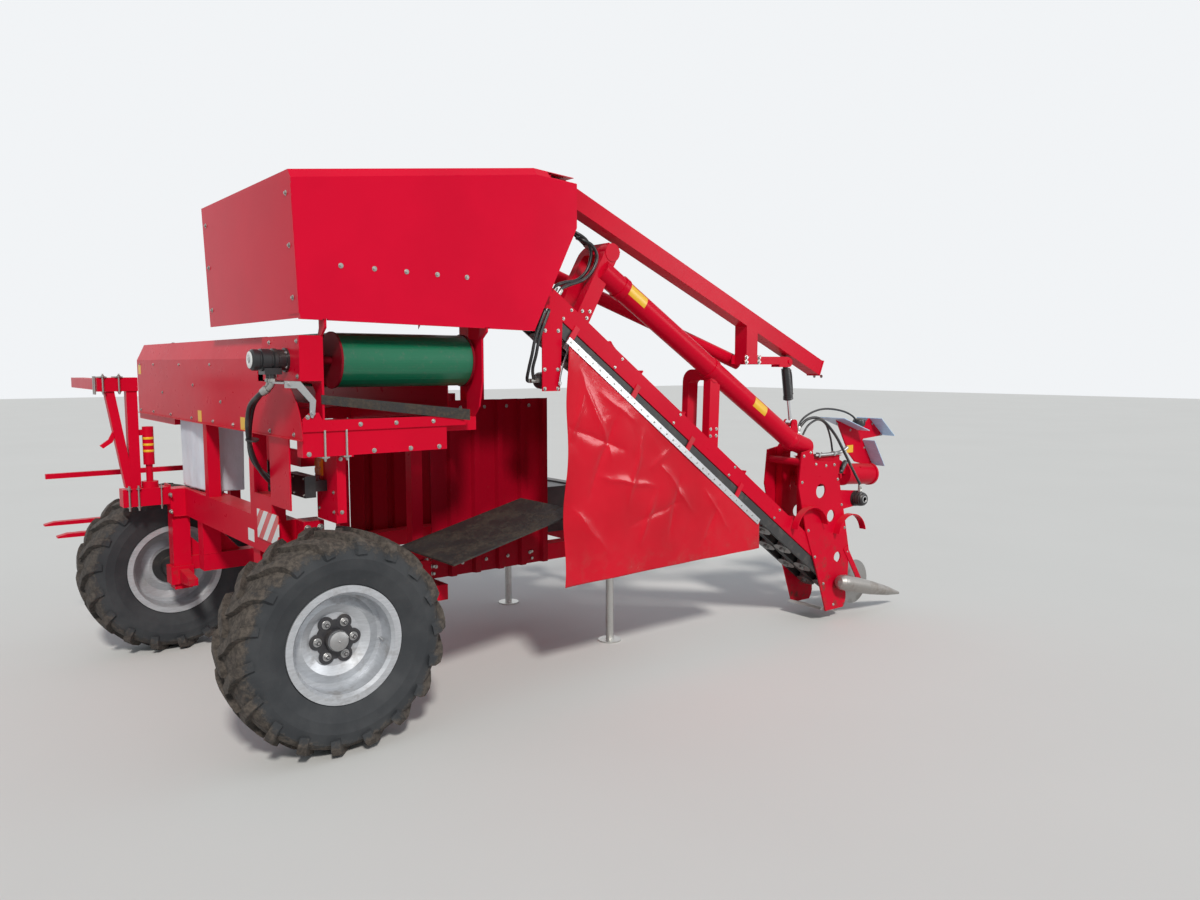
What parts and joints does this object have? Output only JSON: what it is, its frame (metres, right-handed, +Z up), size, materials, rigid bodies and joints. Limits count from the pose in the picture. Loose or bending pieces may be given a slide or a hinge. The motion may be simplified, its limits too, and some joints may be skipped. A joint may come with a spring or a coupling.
{
  "type": "trailed leek harvester",
  "caption": "Trailed row harvester with a sloping belt lifter, a hooded cross conveyor, two lugged tyres, a crate fork and parking jacks.",
  "frame": {"origin": "on the ground, in the middle of the machine's outline", "axes": "+X forward, +Y left, +Z up"},
  "size_m": [6.1144, 3.82, 3.315],
  "materials": {
    "red_paint": "gloss",
    "deep_red_paint": "gloss",
    "green_belt": "satin",
    "black_rubber": "matt",
    "tyre_rubber": "matt",
    "rim_silver": "satin",
    "hub_black": "satin",
    "pump_black": "satin",
    "zinc": "satin",
    "bright_steel": "polished",
    "rail_aluminium": "satin",
    "white_canvas": "matt",
    "red_curtain": "gloss",
    "guard_blue": "satin",
    "road_plastic": "gloss",
    "worn_steel": "worn",
    "tank_grey": "matt"
  },
  "bodies": {
    "frame": {"chassis": "red_paint", "wheel_legs": "red_paint", "body_walls": "deep_red_paint", "oil_tank": "tank_grey", "conveyor_bed": "red_paint", "bed_posts": "red_paint", "belt_table": "red_paint", "conveyor_sides": "red_paint", "cross_belt": "green_belt", "cross_drums": "deep_red_paint", "bearing_plates": "red_paint", "hydraulics": "pump_black", "hood": "red_paint", "boom": "red_paint", "canvas_sleeve": "white_canvas", "rubber_apron": "black_rubber", "lamp_posts": "red_paint", "road_kit": "road_plastic", "crate_mast": "red_paint", "jack_tubes": "red_paint", "hoses": "black_rubber"},
    "wheel_right": {"tyre_right": "tyre_rubber", "rim_right": "rim_silver", "hub_right": "hub_black"},
    "wheel_left": {"tyre_left": "tyre_rubber", "rim_left": "rim_silver", "hub_left": "hub_black"},
    "elevator": {"channels": "red_paint", "grip_belts": "black_rubber", "pulleys": "worn_steel", "round_tube": "red_paint", "curtain_rail": "rail_aluminium", "curtain": "red_curtain", "head_frame": "red_paint", "head_drive": "pump_black", "head_plates": "guard_blue", "share": "worn_steel", "lifter_hoses": "black_rubber"},
    "coulter": {"coulter": "worn_steel"},
    "lift_barrel": {"lift_barrel": "pump_black"},
    "lift_rod": {"lift_rod": "bright_steel"},
    "forks": {"fork_carriage": "red_paint"},
    "draw": {"draw_frame": "red_paint"},
    "jack_right": {"jack_leg_right": "zinc"},
    "jack_left": {"jack_leg_left": "zinc"}
  },
  "joints": [
    {"name": "wheel_right_spin", "type": "hinge", "parent": "frame", "child": "wheel_right", "pos_m": [-2.1, -1.635, 0.62], "axis": [0, 1, 0], "continuous": true},
    {"name": "wheel_left_spin", "type": "hinge", "parent": "frame", "child": "wheel_left", "pos_m": [-2.33, 0.935, 0.62], "axis": [0, 1, 0], "continuous": true},
    {"name": "elevator_lift", "type": "hinge", "parent": "frame", "child": "elevator", "pos_m": [-0.78534, -1.62, 2.60599], "axis": [0, -1, 0], "range_deg": [-1, 3.5]},
    {"name": "coulter_spin", "type": "hinge", "parent": "elevator", "child": "coulter", "pos_m": [2.54954, -1.731, 0.26044], "axis": [0, 1, 0], "continuous": true},
    {"name": "lift_barrel_swing", "type": "hinge", "parent": "frame", "child": "lift_barrel", "pos_m": [1.613, -1.71, 2.16], "axis": [0, -1, 0], "range_deg": [-4, 12]},
    {"name": "lift_rod_slide", "type": "slide", "parent": "lift_barrel", "child": "lift_rod", "axis": [-0.1588, 0, 0.9873], "range_m": [-0.05, 0.15]},
    {"name": "fork_lift", "type": "slide", "parent": "frame", "child": "forks", "axis": [0, 0, 1], "range_m": [-0.3, 0.35]},
    {"name": "draw_swing", "type": "hinge", "parent": "frame", "child": "draw", "pos_m": [0.65, 0.15, 0.76], "axis": [0, 0, 1], "range_deg": [-25, 25]},
    {"name": "jack_right_slide", "type": "slide", "parent": "frame", "child": "jack_right", "axis": [0, 0, 1], "range_m": [0, 0.35]},
    {"name": "jack_left_slide", "type": "slide", "parent": "frame", "child": "jack_left", "axis": [0, 0, 1], "range_m": [0, 0.35]}
  ],
  "couplings": [
    {"joint": "lift_barrel_swing", "follows": "elevator_lift", "ratio": 3.2},
    {"joint": "lift_rod_slide", "follows": "elevator_lift", "m_per_rad": 2.21}
  ]
}
